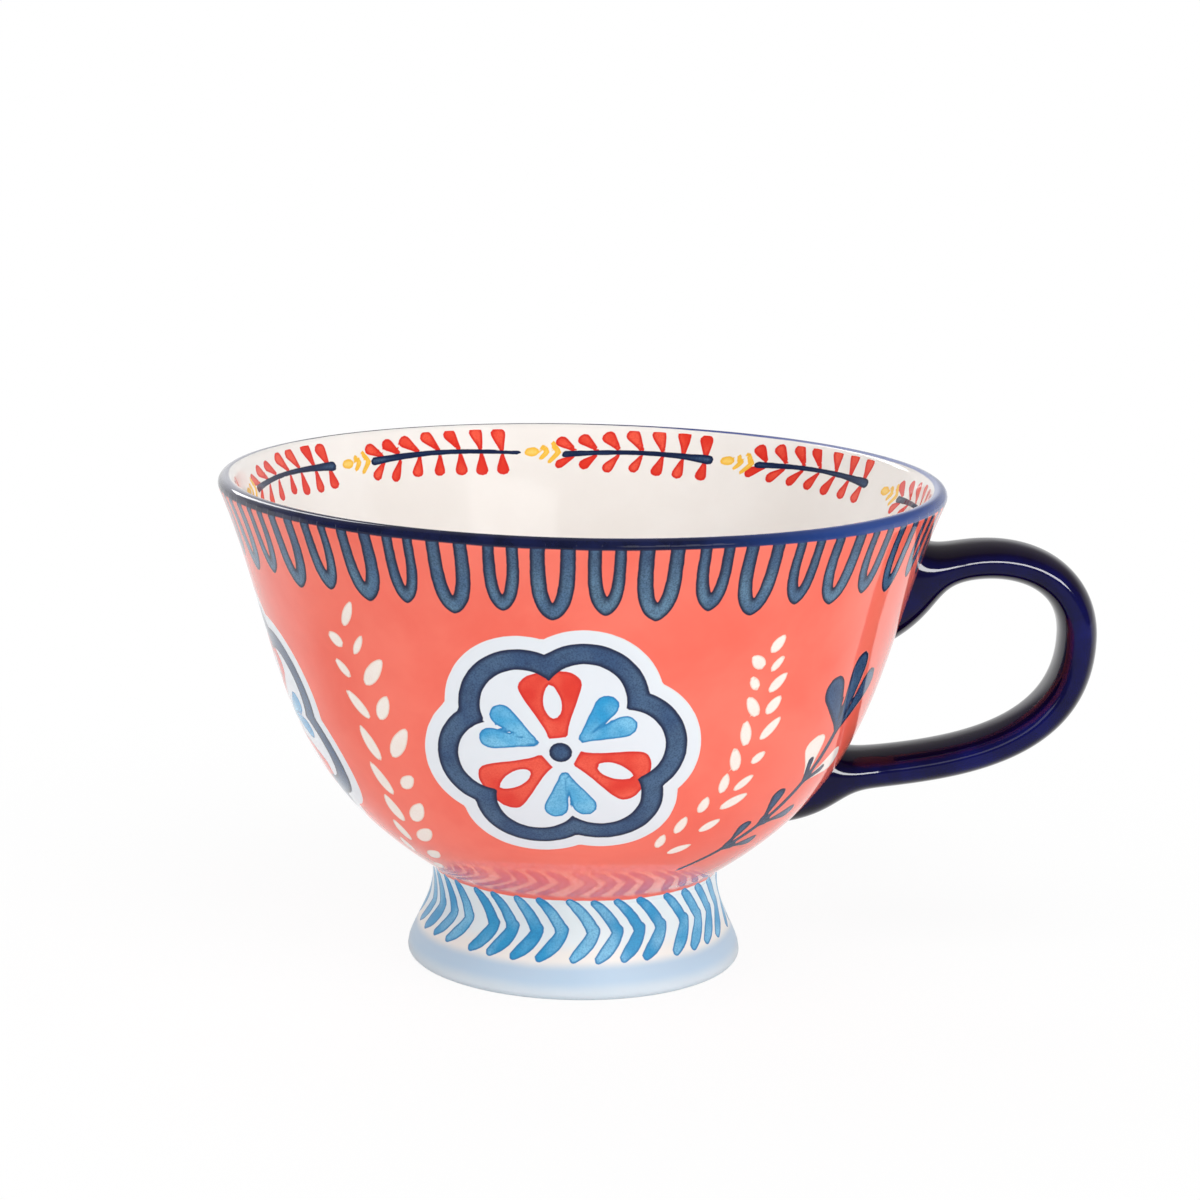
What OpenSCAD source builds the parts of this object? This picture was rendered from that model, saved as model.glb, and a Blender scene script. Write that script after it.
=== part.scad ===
// Footed tea bowl with a strap handle: one piece of glazed and painted stoneware.
// The axis of the bowl is Z, the foot stands on Z = 0 and the handle points along +X.

/* [Bowl] */
// Outside width across the lip
rim_d = 127; // [110:1:140]
// Height from the table to the top of the lip
mug_h = 86.6; // [80:0.1:95]
// Thickness of the rounded lip
lip_t = 3; // [2.4:0.1:3.6]
// Thickness of the wall below the lip
wall_t = 4.2; // [3.4:0.1:5]
// Length over which the wall thins towards the lip
lip_taper = 16; // [10:1:25]
// Outside width where the round of the bowl starts above the waist
bowl_low_d = 54; // [53:0.5:56]
// Height of the waist curve, from the top of the foot to the start of the bowl
waist_turn_h = 3.5; // [3:0.1:4.5]
// Slope of the bowl where it starts, in degrees from level
belly_angle = 33.7; // [30:0.1:38]
// How far the bowl keeps that slope
belly_reach = 33.8; // [28:0.1:38]
// Slope of the wall at the lip, in degrees from level
flare_angle = 67.6; // [64:0.1:74]
// How far the wall keeps that slope
flare_reach = 30.1; // [24:0.1:36]
// Height of the inside floor above the table
floor_z = 16.6; // [15.5:0.1:18]
// Radius of the flat middle of the inside floor
floor_flat = 11; // [8:0.5:14]

/* [Foot] */
// Width of the foot where it is widest
foot_d = 59.5; // [57:0.5:63]
// Width of the waist
waist_d = 50.9; // [49:0.1:52]
// Height of the waist
waist_z = 14.6; // [13.5:0.1:16]
// Rounding of the foot's outer edge
foot_edge_r = 1.2; // [0.8:0.1:2]
// How far the foot stands straight above that edge
foot_upright = 2.6; // [1:0.1:4]
// How far the waist stands straight below its narrowest place
waist_upright = 5.5; // [4:0.1:7]
// Width of the ring that the foot stands on
ring_w = 3.6; // [2.5:0.1:5]
// Rounding of the ring's inner edge
ring_edge_r = 0.8; // [0.5:0.1:1.2]
// Depth of the hollow under the foot
recess_h = 9; // [7:0.1:10.5]
// How much narrower the hollow is at its top than at the ring
recess_taper = 2.6; // [1:0.1:4]
// Rounding of the hollow's inner corner
recess_corner_r = 2.4; // [1.5:0.1:3]

/* [Handle] */
// Thickness of the strap
strap_t = 6.7; // [5:0.1:7.5]
// Width of the strap
strap_w = 14; // [10:0.5:16]
// Squareness of the strap's section: 2 is an ellipse
strap_square = 2.3; // [2:0.1:4]
// Distance from the bowl's axis to the strap's middle at its outermost place
handle_reach = 87.8; // [82:0.5:96]
// Height of that outermost place
handle_reach_z = 59.6; // [56:0.1:63]
// How far the strap stands upright above it
loop_up = 14.1; // [11:0.1:17]
// How far the strap stands upright below it
loop_down = 25.9; // [20:0.1:28]
// Height of the upper root on the bowl
top_root_z = 67.5; // [64:0.1:69]
// Direction in which the strap leaves the upper root, in degrees from level
top_root_angle = 32.6; // [25:0.1:40]
// How far the strap keeps that direction
top_root_reach = 17.6; // [14:0.1:20]
// Height of the lower root on the bowl
low_root_z = 32; // [30:0.1:35]
// Direction in which the strap leaves the lower root, in degrees from level
low_root_angle = 19.2; // [10:0.1:25]
// How far the strap keeps that direction
low_root_reach = 9.8; // [7:0.1:14]
// How much the strap thickens to each side at the upper root
top_flare = 8.4; // [5:0.1:8.8]
// Length of the upper flare
top_flare_len = 5.5; // [4:0.1:7]
// How much the strap thickens upwards at the lower root
low_flare_over = 5.1; // [4:0.1:6.5]
// How much it thickens downwards there, where it runs out along the bowl
low_flare_under = 7.9; // [6:0.1:8.5]
// Length of the lower flare
low_flare_len = 5; // [4:0.1:7]
// How much the strap widens to each side at both roots
root_widen = 1.6; // [0:0.1:2.5]
// Depth of both roots inside the wall
root_depth = 2; // [1.6:0.1:2.4]

/* [Colour fields] */
// Height of the painted line round the lip
lip_band_h = 2.6; // [1.5:0.1:4]
// Height of the tinted band round the base of the foot
base_band_h = 4.4; // [3:0.1:6]

/* [Hidden] */
$fn = 96;
coral = "#F27D68";
navy = "#1B2A66";
cream = "#F4EFE6";
milk = "#F3F4F2";
sky = "#C3D6EC";
bowl_steps = 30;
lip_steps = 8;
edge_steps = 5;
foot_steps = 10;
waist_steps = 6;
floor_steps = 9;
loop_steps = 22;
strap_sides = 20;
// Share of the straight run that a round corner's handles take
turn_share = 0.6;
// Depth of the lining's colour field, as a share of the wall
lining_share = 0.4;
// Finest step used to look a height up on the bowl's curve
look_steps = 60;

foot_r = foot_d / 2;
waist_r = waist_d / 2;
lip_r = lip_t / 2;
lip_c = [rim_d / 2 - lip_r, mug_h - lip_r];
bowl_low = [bowl_low_d / 2, waist_z + waist_turn_h];
bowl_high = lip_c + lip_r * away(flare_angle);
ring_out = foot_r - foot_edge_r;
ring_in = ring_out - ring_w;
recess_r = ring_in - recess_taper;

function polar(a) = [cos(a), sin(a)];
// Outward side of a line that rises at angle a
function away(a) = [sin(a), -cos(a)];
function unit(v) = v / norm(v);
function turned(v) = [v[1], -v[0]];
function back(list) = [for (i = [len(list) - 1:-1:0]) list[i]];
function mix(a, b, s) = a * (1 - s) + b * s;
function fade(d, length) = exp(-pow(d / length, 2));

// Point and heading on a cubic curve with four control points
function bend(p, t) = pow(1 - t, 3) * p[0] + 3 * t * pow(1 - t, 2) * p[1]
    + 3 * t * t * (1 - t) * p[2] + pow(t, 3) * p[3];
function heading(p, t) = unit(pow(1 - t, 2) * (p[1] - p[0]) + 2 * t * (1 - t) * (p[2] - p[1])
    + t * t * (p[3] - p[2]));
function along(p, steps, from = 0, to = 1) = [for (i = [0:steps]) bend(p, from + (to - from) * i / steps)];
function arc(c, r, from, to, steps) = [for (i = [0:steps]) c + r * polar(from + (to - from) * i / steps)];

// Outer line of the bowl, and the wall's thickness along it
bowl_line = [
    bowl_low,
    bowl_low + belly_reach * polar(belly_angle),
    bowl_high - flare_reach * polar(flare_angle),
    bowl_high];
function wall_at(t) = mix(wall_t, lip_t, fade(norm(bend(bowl_line, t) - bowl_high), lip_taper));
function inside(t, share) = bend(bowl_line, t) - share * wall_at(t) * turned(heading(bowl_line, t));
function wall_line(from, to, share) = [for (i = [0:bowl_steps]) inside(from + (to - from) * i / bowl_steps, share)];

// Where the outer line reaches a height: its parameter, radius and slope
look_up = [for (i = [0:look_steps]) i / look_steps];
function param_at(z) = lookup(z, [for (t = look_up) [bend(bowl_line, t)[1], t]]);
function on_bowl(z) = bend(bowl_line, param_at(z));
function up_bowl(z) = heading(bowl_line, param_at(z));
band_t = param_at(mug_h - lip_band_h);

// Outer line of the foot, from the standing ring up to the bowl
foot_line = [
    [foot_r, foot_edge_r],
    [foot_r, foot_edge_r + foot_upright],
    [waist_r, waist_z - waist_upright],
    [waist_r, waist_z]];
corner_run = bowl_low[0] - waist_r;
corner = [waist_r, bowl_low[1] - corner_run * tan(belly_angle)];
waist_line = [foot_line[3], mix(foot_line[3], corner, turn_share), mix(bowl_low, corner, turn_share), bowl_low];
foot_outside = concat(
    arc([ring_out, foot_edge_r], foot_edge_r, -90, 0, edge_steps),
    along(foot_line, foot_steps, 1 / foot_steps),
    along(waist_line, waist_steps, 1 / waist_steps));

// Hollow under the foot, from the axis out to the ring
recess_inside = concat(
    [[0, recess_h]],
    arc([recess_r - recess_corner_r, recess_h - recess_corner_r], recess_corner_r, 90, 0, edge_steps),
    arc([ring_in + ring_edge_r, ring_edge_r], ring_edge_r, 180, 270, edge_steps));

// Floor of the bowl from the wall to the axis, at a share of the wall's depth
function floor_line(share) = [
    inside(0, share),
    inside(0, share) - (inside(0, 1)[1] - floor_z) / sin(belly_angle) * polar(belly_angle),
    [floor_flat, floor_z - (1 - share) * wall_t],
    [0, floor_z - (1 - share) * wall_t]];

lining_inside = concat(back(along(floor_line(1), floor_steps)), wall_line(0, band_t, 1));
lining_back = concat(back(along(floor_line(1 - lining_share), floor_steps)), wall_line(0, band_t, 1 - lining_share));

// The lip's colour field goes through the whole wall
module lip_section() {
    upper = [for (i = [0:edge_steps]) band_t + (1 - band_t) * i / edge_steps];
    polygon(concat(
        [for (t = upper) inside(t, 0)],
        arc(lip_c, lip_r, flare_angle - 90, flare_angle + 90, lip_steps),
        back([for (t = upper) inside(t, 1)])));
}

module lining_section() polygon(concat(lining_back, back(lining_inside)));

module bowl_section() {
    polygon(concat(wall_line(0, band_t, 0), back(wall_line(0, band_t, 1 - lining_share))));
}

module foot_section() {
    polygon(concat(recess_inside, foot_outside, along(floor_line(1 - lining_share), floor_steps)));
}

module bowl() {
    color(navy) rotate_extrude() lip_section();
    color(cream) rotate_extrude() lining_section();
    color(coral) rotate_extrude() bowl_section();
}

module foot() {
    color(milk) rotate_extrude() difference() {
        foot_section();
        square([foot_d, base_band_h]);
    }
    color(sky) rotate_extrude() intersection() {
        foot_section();
        square([foot_d, base_band_h]);
    }
}

// Middle line of the strap: upper root to outermost place, and on to the lower root
top_root = on_bowl(top_root_z) - root_depth * turned(up_bowl(top_root_z));
low_root = on_bowl(low_root_z) - root_depth * turned(up_bowl(low_root_z));
reach = [handle_reach, handle_reach_z];
upper_loop = [top_root, top_root + top_root_reach * polar(top_root_angle), reach + [0, loop_up], reach];
lower_loop = [reach, reach - [0, loop_down], low_root + low_root_reach * polar(low_root_angle), low_root];
// Steps crowd towards the roots, where the flares are
function crowd(s) = s * s * (1.6 - 0.6 * s);
stations = concat(
    [for (i = [0:loop_steps]) [bend(upper_loop, crowd(i / loop_steps)), heading(upper_loop, crowd(i / loop_steps))]],
    [for (i = [1:loop_steps]) let (t = 1 - crowd(1 - i / loop_steps)) [bend(lower_loop, t), heading(lower_loop, t)]]);

// One ring of the strap lies across its line, and lies along the wall at the roots
function ring_up(c, h) = let (
    near_top = fade(norm(c - top_root), top_flare_len),
    near_low = fade(norm(c - low_root), low_flare_len),
    square_on = (1 - near_top) * (1 - near_low) * [-h[1], h[0]])
    unit(square_on + near_top * up_bowl(top_root_z) - near_low * up_bowl(low_root_z));
// The loop's outer side is above the strap at the upper root and below it at the lower one
function ring_half(c, low_flare) = strap_t / 2 + top_flare * fade(norm(c - top_root), top_flare_len)
    + low_flare * fade(norm(c - low_root), low_flare_len);
function ring_side(c) = strap_w / 2 + root_widen * (fade(norm(c - top_root), 2 * top_flare_len)
    + fade(norm(c - low_root), 2 * low_flare_len));
function rounded(v) = sign(v) * pow(abs(v), 2 / strap_square);
function ring(c, h) = let (
    up = ring_up(c, h),
    outer_half = ring_half(c, low_flare_under),
    inner_half = ring_half(c, low_flare_over),
    side = ring_side(c))
    [for (k = [0:strap_sides - 1]) let (
        a = 360 * k / strap_sides,
        v = (sin(a) > 0 ? outer_half : inner_half) * rounded(sin(a)))
        [c[0] + v * up[0], side * rounded(cos(a)), c[1] + v * up[1]]];

module handle() {
    rings = len(stations);
    points = [for (s = stations) each ring(s[0], s[1])];
    function id(i, k) = i * strap_sides + k % strap_sides;
    sides = [for (i = [0:rings - 2], k = [0:strap_sides - 1])
        each [[id(i, k), id(i + 1, k), id(i, k + 1)], [id(i, k + 1), id(i + 1, k), id(i + 1, k + 1)]]];
    ends = [[for (k = [0:strap_sides - 1]) id(0, k)], [for (k = [strap_sides - 1:-1:0]) id(rings - 1, k)]];
    color(navy) polyhedron(points, concat(sides, ends));
}

// The fired piece: foot, bowl and handle in one
module mug() {
    union() {
        foot();
        bowl();
        handle();
    }
}

mug();
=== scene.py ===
"""Looks of the footed mug: glazed stoneware with brush-painted ornament, and a deep blue strap handle.

Lengths in the shape functions are millimetres, and become metres where a mesh is made.
"""

import math

import bpy
import numpy as np
from mathutils import Matrix, Vector


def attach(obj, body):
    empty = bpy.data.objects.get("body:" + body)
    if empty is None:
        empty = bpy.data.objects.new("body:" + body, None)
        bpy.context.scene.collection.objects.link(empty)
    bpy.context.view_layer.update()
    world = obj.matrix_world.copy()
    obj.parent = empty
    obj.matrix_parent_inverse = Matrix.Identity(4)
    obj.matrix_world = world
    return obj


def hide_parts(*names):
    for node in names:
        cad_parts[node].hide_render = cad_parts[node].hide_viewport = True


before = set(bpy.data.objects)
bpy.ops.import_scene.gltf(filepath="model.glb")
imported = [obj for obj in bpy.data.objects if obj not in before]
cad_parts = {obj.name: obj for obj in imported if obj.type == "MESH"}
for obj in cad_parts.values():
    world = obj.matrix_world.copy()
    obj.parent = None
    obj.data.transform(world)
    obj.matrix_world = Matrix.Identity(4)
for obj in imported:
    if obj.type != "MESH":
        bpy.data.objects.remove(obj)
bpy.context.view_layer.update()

MM = 0.001
SEED = 46

# Camera
EYE = (0.0, -0.54939, 0.1752)
YAW, PITCH, ROLL = (math.radians(a) for a in (0.3564, 11.415, 1.2696))
LENS, SENSOR = 95.34, 36.0  # millimetres


def make_camera():
    """Camera at the photograph's place: turned by YAW to the right, tipped down by PITCH, rolled by ROLL."""
    right = Vector((math.cos(YAW), -math.sin(YAW), 0))
    ahead = Vector((math.cos(PITCH) * math.sin(YAW), math.cos(PITCH) * math.cos(YAW), -math.sin(PITCH)))
    up = Vector((math.sin(PITCH) * math.sin(YAW), math.sin(PITCH) * math.cos(YAW), math.cos(PITCH)))
    x = right * math.cos(ROLL) + up * math.sin(ROLL)
    y = up * math.cos(ROLL) - right * math.sin(ROLL)
    data = bpy.data.cameras.new("camera")
    data.lens = LENS
    data.sensor_width = SENSOR
    data.clip_start, data.clip_end = 0.05, 20
    camera = bpy.data.objects.new("camera", data)
    camera.matrix_world = Matrix((
        (x.x, y.x, -ahead.x, EYE[0]),
        (x.y, y.y, -ahead.y, EYE[1]),
        (x.z, y.z, -ahead.z, EYE[2]),
        (0, 0, 0, 1),
    ))
    bpy.context.collection.objects.link(camera)
    bpy.context.scene.camera = camera


make_camera()


# Plane curves
def polar(angle):
    """Unit vector at an angle in degrees."""
    return np.array([math.cos(math.radians(angle)), math.sin(math.radians(angle))])


def bend(p, t):
    """Cubic curve with four control points, at the parameters t."""
    t = np.asarray(t, float)[..., None]
    p = np.asarray(p, float)
    return (1 - t) ** 3 * p[0] + 3 * t * (1 - t) ** 2 * p[1] + 3 * t**2 * (1 - t) * p[2] + t**3 * p[3]


def heading(p, t):
    """Unit tangent of that curve: its derivative over its length."""
    t = np.asarray(t, float)[..., None]
    p = np.asarray(p, float)
    d = (1 - t) ** 2 * (p[1] - p[0]) + 2 * t * (1 - t) * (p[2] - p[1]) + t**2 * (p[3] - p[2])
    return d / np.linalg.norm(d, axis=-1, keepdims=True)


def arc(centre, radius, start, stop, steps):
    """Points on a circle from one angle to another, in degrees."""
    a = np.radians(np.linspace(start, stop, steps + 1))
    return np.asarray(centre) + radius * np.stack([np.cos(a), np.sin(a)], -1)


def fade(distance, length):
    """Bell that falls from 1 as the square of distance over length."""
    return np.exp(-((distance / length) ** 2))


def run_of(points):
    """Length run along a line of points, from 0."""
    return np.r_[0, np.cumsum(np.linalg.norm(np.diff(points, axis=0), axis=1))]


def respaced(points, spacing):
    """The same line with points about a spacing apart, which follows a list of pairs (run, spacing)."""
    run = run_of(points)
    marks, at = [0.0], 0.0
    while at < run[-1]:
        at += np.interp(at, [s[0] for s in spacing], [s[1] for s in spacing])
        marks.append(at)
    marks = np.array(marks) * run[-1] / marks[-1]
    return np.stack([np.interp(marks, run, points[:, k]) for k in (0, 1)], -1)


# Sizes of the solid: radii and heights, wall thicknesses, and slopes in degrees
RIM_R, HEIGHT, LIP_R = 63.5, 86.6, 1.5
WALL, LIP_T, LIP_TAPER = 4.2, 3.0, 16.0
LIP_C = np.array([RIM_R - LIP_R, HEIGHT - LIP_R])
FLARE = 67.6  # slope of the bowl's side at the lip
BELLY = 33.7  # slope of the bowl's side over the waist
WAIST = np.array([25.45, 14.6])
BOWL_LOW = np.array([27.0, 18.1])
BOWL_HIGH = LIP_C + LIP_R * np.array([math.sin(math.radians(FLARE)), -math.cos(math.radians(FLARE))])
BELLY_KEEP, FLARE_KEEP = 33.8, 30.1  # how far the bowl keeps each of those slopes
BOWL = np.array([
    BOWL_LOW, BOWL_LOW + BELLY_KEEP * polar(BELLY), BOWL_HIGH - FLARE_KEEP * polar(FLARE), BOWL_HIGH])
FOOT_R, EDGE_R = 29.75, 1.2
FOOT_RISE, WAIST_DROP = 2.6, 5.5  # how far the foot and the waist stand straight
FOOT = np.array([
    [FOOT_R, EDGE_R], [FOOT_R, EDGE_R + FOOT_RISE], [WAIST[0], WAIST[1] - WAIST_DROP], WAIST])
CORNER = np.array([WAIST[0], BOWL_LOW[1] - (BOWL_LOW[0] - WAIST[0]) * math.tan(math.radians(BELLY))])
SLACK = 0.05  # share of the way by which the waist's turn stays off the corner
WAIST_TURN = np.array([
    WAIST, WAIST * SLACK + CORNER * (1 - SLACK), BOWL_LOW * SLACK + CORNER * (1 - SLACK), BOWL_LOW])
RING_IN, RING_EDGE = 24.95, 0.8
RECESS_R, RECESS_H, RECESS_CORNER = 22.35, 9.0, 2.4
FLOOR_Z, FLOOR_FLAT = 16.6, 11.0
POLE_R = 0.6  # radius of the first and the last row, which a fan closes


def inside(t):
    """Inner face of the wall: the outer line moved in, square to it, by a thickness less near the lip."""
    outer, h = bend(BOWL, t), heading(BOWL, t)
    thick = WALL + (LIP_T - WALL) * fade(np.linalg.norm(outer - BOWL_HIGH, axis=-1), LIP_TAPER)
    return outer - thick[..., None] * np.stack([h[..., 1], -h[..., 0]], -1)


def bowl_normal(z):
    """Outer point, outward normal and upward tangent of the bowl at a height."""
    t = np.interp(z, bend(BOWL, np.linspace(0, 1, 400))[:, 1], np.linspace(0, 1, 400))
    h = heading(BOWL, t)
    return bend(BOWL, t), np.array([h[1], -h[0]]), h


# The turned body
FINE = np.linspace(0, 1, 300)
outer_line = np.concatenate([bend(FOOT, FINE), bend(WAIST_TURN, FINE)[1:], bend(BOWL, FINE)[1:]])[::-1]
inner_line = inside(FINE)[::-1]
floor_start = inner_line[-1]
floor_reach = (floor_start[1] - FLOOR_Z) / math.sin(math.radians(BELLY))
FLOOR = np.array([floor_start, floor_start - floor_reach * polar(BELLY), [FLOOR_FLAT, FLOOR_Z], [0, FLOOR_Z]])

# Rows run from the middle of the hollow under the foot, up the outside, over the lip and down to the floor.
under = np.concatenate([
    np.array([[POLE_R, RECESS_H], [7, RECESS_H], [14, RECESS_H]]),
    arc([RECESS_R - RECESS_CORNER, RECESS_H - RECESS_CORNER], RECESS_CORNER, 90, 0, 5),
    np.array([[(RECESS_R + RING_IN) / 2, (RECESS_H - RECESS_CORNER + RING_EDGE) / 2]]),
    arc([RING_IN + RING_EDGE, RING_EDGE], RING_EDGE, 180, 270, 3),
    np.array([[(RING_IN + RING_EDGE + FOOT_R - EDGE_R) / 2, 0.0]]),
    arc([FOOT_R - EDGE_R, EDGE_R], EDGE_R, -90, 0, 5)[:-1],
])
# Rows lie close where paint has fine edges, and far apart where there is none.
OUTSIDE_SPACING = [
    (0, 0.67), (13, 0.76), (62, 0.84), (66, 1.05), (75, 0.95),
    (78, 0.52), (80, 0.52), (81, 0.7), (91, 0.74), (96, 1.1),
]
LINING_SPACING = [(0, 0.6), (10, 0.6), (12, 3.6), (80, 4.0)]
wall_rows = respaced(outer_line, OUTSIDE_SPACING)
lip_rows = arc(LIP_C, LIP_R, FLARE - 90, FLARE + 90, 8)[1:-1]
lining_rows = respaced(inner_line, LINING_SPACING)
floor_rows = bend(FLOOR, np.linspace(0, 1, 7))[1:]
floor_rows[-1, 0] = POLE_R
profile = np.concatenate([under, wall_rows[::-1], lip_rows, lining_rows, floor_rows])
ROWS, COLUMNS = len(profile), 512
first_wall = len(under)
last_wall = first_wall + len(wall_rows) - 1
first_lining = last_wall + 1 + len(lip_rows)

azimuth = -180 + 360 * np.arange(COLUMNS) / COLUMNS  # degrees from the handle's side, the camera is at -90
radius = profile[:, 0]
run = run_of(profile)
# Run down the outside from the lip's outer edge, and below 0 over the lip and down the lining
down = run[last_wall] - run
LIP_RUN = run[first_lining] - run[last_wall]
# Run down the lining from the lip's inner edge
down_in = -down - LIP_RUN
CORAL_END = 79.8  # run down at which the coral ground ends
GARLAND_END = 10.0  # run down the lining that holds its garland


# Outlines of painted shapes, in millimetres
def depth_in(x, y, outline):
    """Distance from each point to a closed outline, positive inside: the least distance to its straight
    pieces, with the sign from how often a level ray crosses it."""
    a, b = outline, np.roll(outline, -1, axis=0)
    d = b - a
    px, py = x[..., None] - a[:, 0], y[..., None] - a[:, 1]
    s = np.clip((px * d[:, 0] + py * d[:, 1]) / np.maximum((d**2).sum(1), 1e-12), 0, 1)
    away = np.sqrt(((px - s * d[:, 0]) ** 2 + (py - s * d[:, 1]) ** 2).min(-1))
    over = (a[:, 1] > y[..., None]) != (b[:, 1] > y[..., None])
    slope = np.where(d[:, 1] == 0, 1e-12, d[:, 1])
    crossed = over & (px < d[:, 0] * py / slope)
    return np.where(crossed.sum(-1) % 2 == 1, away, -away)


def seed(length, width, steps=22):
    """Brush dab along +y: half width is the sine of the share run to a power, fullest before the middle."""
    s = np.linspace(0, 1, steps)
    half = width / 2 * np.sin(math.pi * s**0.85) ** 0.62
    y = (s - 0.5) * length
    return np.concatenate([np.stack([half, y], -1), np.stack([-half[::-1], y[::-1]], -1)[1:-1]])


def club(length, width, steps=20):
    """Club-shaped leaf that starts narrow at y = 0 and swells to a round end at y = length."""
    s = np.linspace(0, 1, steps)
    swell = 0.28 + 0.72 * np.sin(math.pi / 2 * s) ** 1.6
    round_end = np.sqrt(np.clip(1 - ((s - 0.72) / 0.28).clip(0) ** 2, 0, 1))
    half = width / 2 * swell * round_end
    y = s * length
    return np.concatenate([np.stack([half, y], -1), np.stack([-half[::-1], y[::-1]], -1)])


def blob(radius_at, steps):
    """Closed round outline: distance from the middle as a function of the angle in radians."""
    a = np.linspace(0, 2 * math.pi, steps, endpoint=False)
    return np.stack([radius_at(a) * np.cos(a), radius_at(a) * np.sin(a)], -1)


def foil(reach, lobe, count=6):
    """Outline of round lobes: circles of one radius, with their middles at one distance from the middle."""
    wedge = math.pi / count

    def edge(a):
        w = (a + wedge) % (2 * wedge) - wedge
        return reach * np.cos(w) + np.sqrt(lobe**2 - (reach * np.sin(w)) ** 2)

    return blob(edge, 30 * count)


def stroke_in(x, y, points, half):
    """Distance inside a brush stroke: over its straight pieces, the most of half width less distance."""
    points = np.asarray(points, float)
    mark = run_of(points)
    wide = np.interp(mark / mark[-1], np.linspace(0, 1, len(half)), half)
    deepest = np.full(x.shape, FAR)
    for a, b, wa, wb in zip(points[:-1], points[1:], wide[:-1], wide[1:]):
        d = b - a
        s = np.clip(((x - a[0]) * d[0] + (y - a[1]) * d[1]) / (d**2).sum(), 0, 1)
        reach = np.hypot(x - a[0] - s * d[0], y - a[1] - s * d[1])
        deepest = np.maximum(deepest, wa + s * (wb - wa) - reach)
    return deepest


def turned(outline, tilt):
    """Outline turned by tilt degrees from +y towards +x."""
    a = math.radians(tilt)
    return np.stack([
        outline[:, 0] * math.cos(a) + outline[:, 1] * math.sin(a),
        outline[:, 1] * math.cos(a) - outline[:, 0] * math.sin(a)], -1)


# Each paint has a field on the grid: the distance inside its nearest shape in millimetres, negative outside.
FAR = -4.0  # the value where no shape is near
REACH = 3.0  # how far round a shape its distance is worked out
PAINTS = ("cream", "ground", "blue", "red", "yellow", "stroke")
paint = {name: np.full((ROWS, COLUMNS), FAR) for name in PAINTS}


def patch(at, points, spare, lining):
    """Rows and columns of the grid near a shape, with x round the wall and y up to the lip in true length."""
    level = down_in if lining else down
    near = (level > at[1] - points[:, 1].max() - spare) & (level < at[1] - points[:, 1].min() + spare)
    rows = np.nonzero((level >= 0) & near)[0]
    turn = (azimuth - at[0] + 180) % 360 - 180
    widest = np.abs(points[:, 0]).max() + spare
    columns = np.nonzero(np.abs(turn) * math.pi / 180 * radius[rows].min() < widest)[0]
    x = np.radians(turn[columns])[None, :] * radius[rows][:, None]
    y = (at[1] - level[rows])[:, None] + 0 * x
    return np.ix_(rows, columns), x, y


def put(name, at, outline, lining=False, cut=()):
    """Adds a closed shape to a paint field, at an azimuth and a run down, less the outlines in cut."""
    here, x, y = patch(at, outline, REACH, lining)
    depth = depth_in(x, y, outline)
    for hole in cut:
        depth = np.minimum(depth, -depth_in(x, y, hole))
    paint[name][here] = np.maximum(paint[name][here], depth)


def dab(name, at, points, half, lining=False):
    """Adds a brush stroke to a paint field: a line of points, and half widths spread along it."""
    points = np.asarray(points, float)
    here, x, y = patch(at, points, REACH + max(half), lining)
    paint[name][here] = np.maximum(paint[name][here], stroke_in(x, y, points, half))


rng = np.random.default_rng(SEED)

# Leaf sprays: azimuth from the spray's own middle, run down, length, width, lean in degrees towards +azimuth
LEAVES_WIDE = [
    (0.0, 15.3, 5.6, 1.8, 32), (-4.3, 20.6, 3.6, 2.3, -61), (1.0, 20.8, 4.6, 1.4, 35),
    (3.3, 25.4, 6.9, 2.5, 42), (-4.1, 25.8, 4.2, 1.8, -46), (3.9, 31.9, 5.3, 2.4, 30),
    (-2.3, 32.2, 6.2, 2.2, -43), (5.8, 38.3, 7.5, 2.6, 36), (-1.9, 39.6, 6.8, 2.5, -22),
    (4.9, 46.4, 4.4, 2.2, 47), (-2.4, 47.0, 6.8, 2.5, -21), (3.8, 53.6, 6.6, 2.5, 39),
    (-3.4, 54.0, 6.3, 2.7, -6), (1.5, 60.0, 6.6, 2.5, 48), (-7.0, 60.6, 5.8, 2.3, 2),
    (-2.0, 66.8, 5.2, 2.2, 54), (-13.0, 66.4, 5.0, 2.1, 14), (-8.0, 72.4, 4.2, 1.9, 60),
]
LEAVES_SLIM = [
    (0.0, 18.2, 3.6, 2.1, 36), (-3.3, 21.2, 3.5, 2.1, -49), (0.8, 21.9, 3.4, 1.5, 39),
    (-3.2, 25.1, 3.1, 1.6, -35), (1.8, 25.5, 4.3, 2.0, 44), (-2.5, 29.5, 4.7, 2.0, -35),
    (2.0, 29.7, 3.8, 2.2, 37), (2.7, 34.2, 5.0, 2.0, 40), (-2.7, 34.5, 5.1, 2.0, -15),
    (-3.5, 39.6, 5.0, 2.0, -18), (1.8, 39.8, 3.0, 1.8, 50), (-4.4, 44.4, 4.2, 1.8, -3),
    (0.3, 44.8, 4.2, 1.8, 47), (-7.5, 48.8, 3.6, 1.9, 5), (-0.3, 48.8, 5.3, 2.1, 61),
    (-11.1, 53.3, 4.2, 1.9, 9), (-3.7, 54.2, 4.1, 2.0, 52), (-14.5, 57.3, 3.8, 1.7, 2),
    (-8.6, 60.2, 4.2, 1.9, 63),
]
LONGER, WIDER = 1.06, 1.08  # the brush runs a little past a leaf's own size
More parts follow.
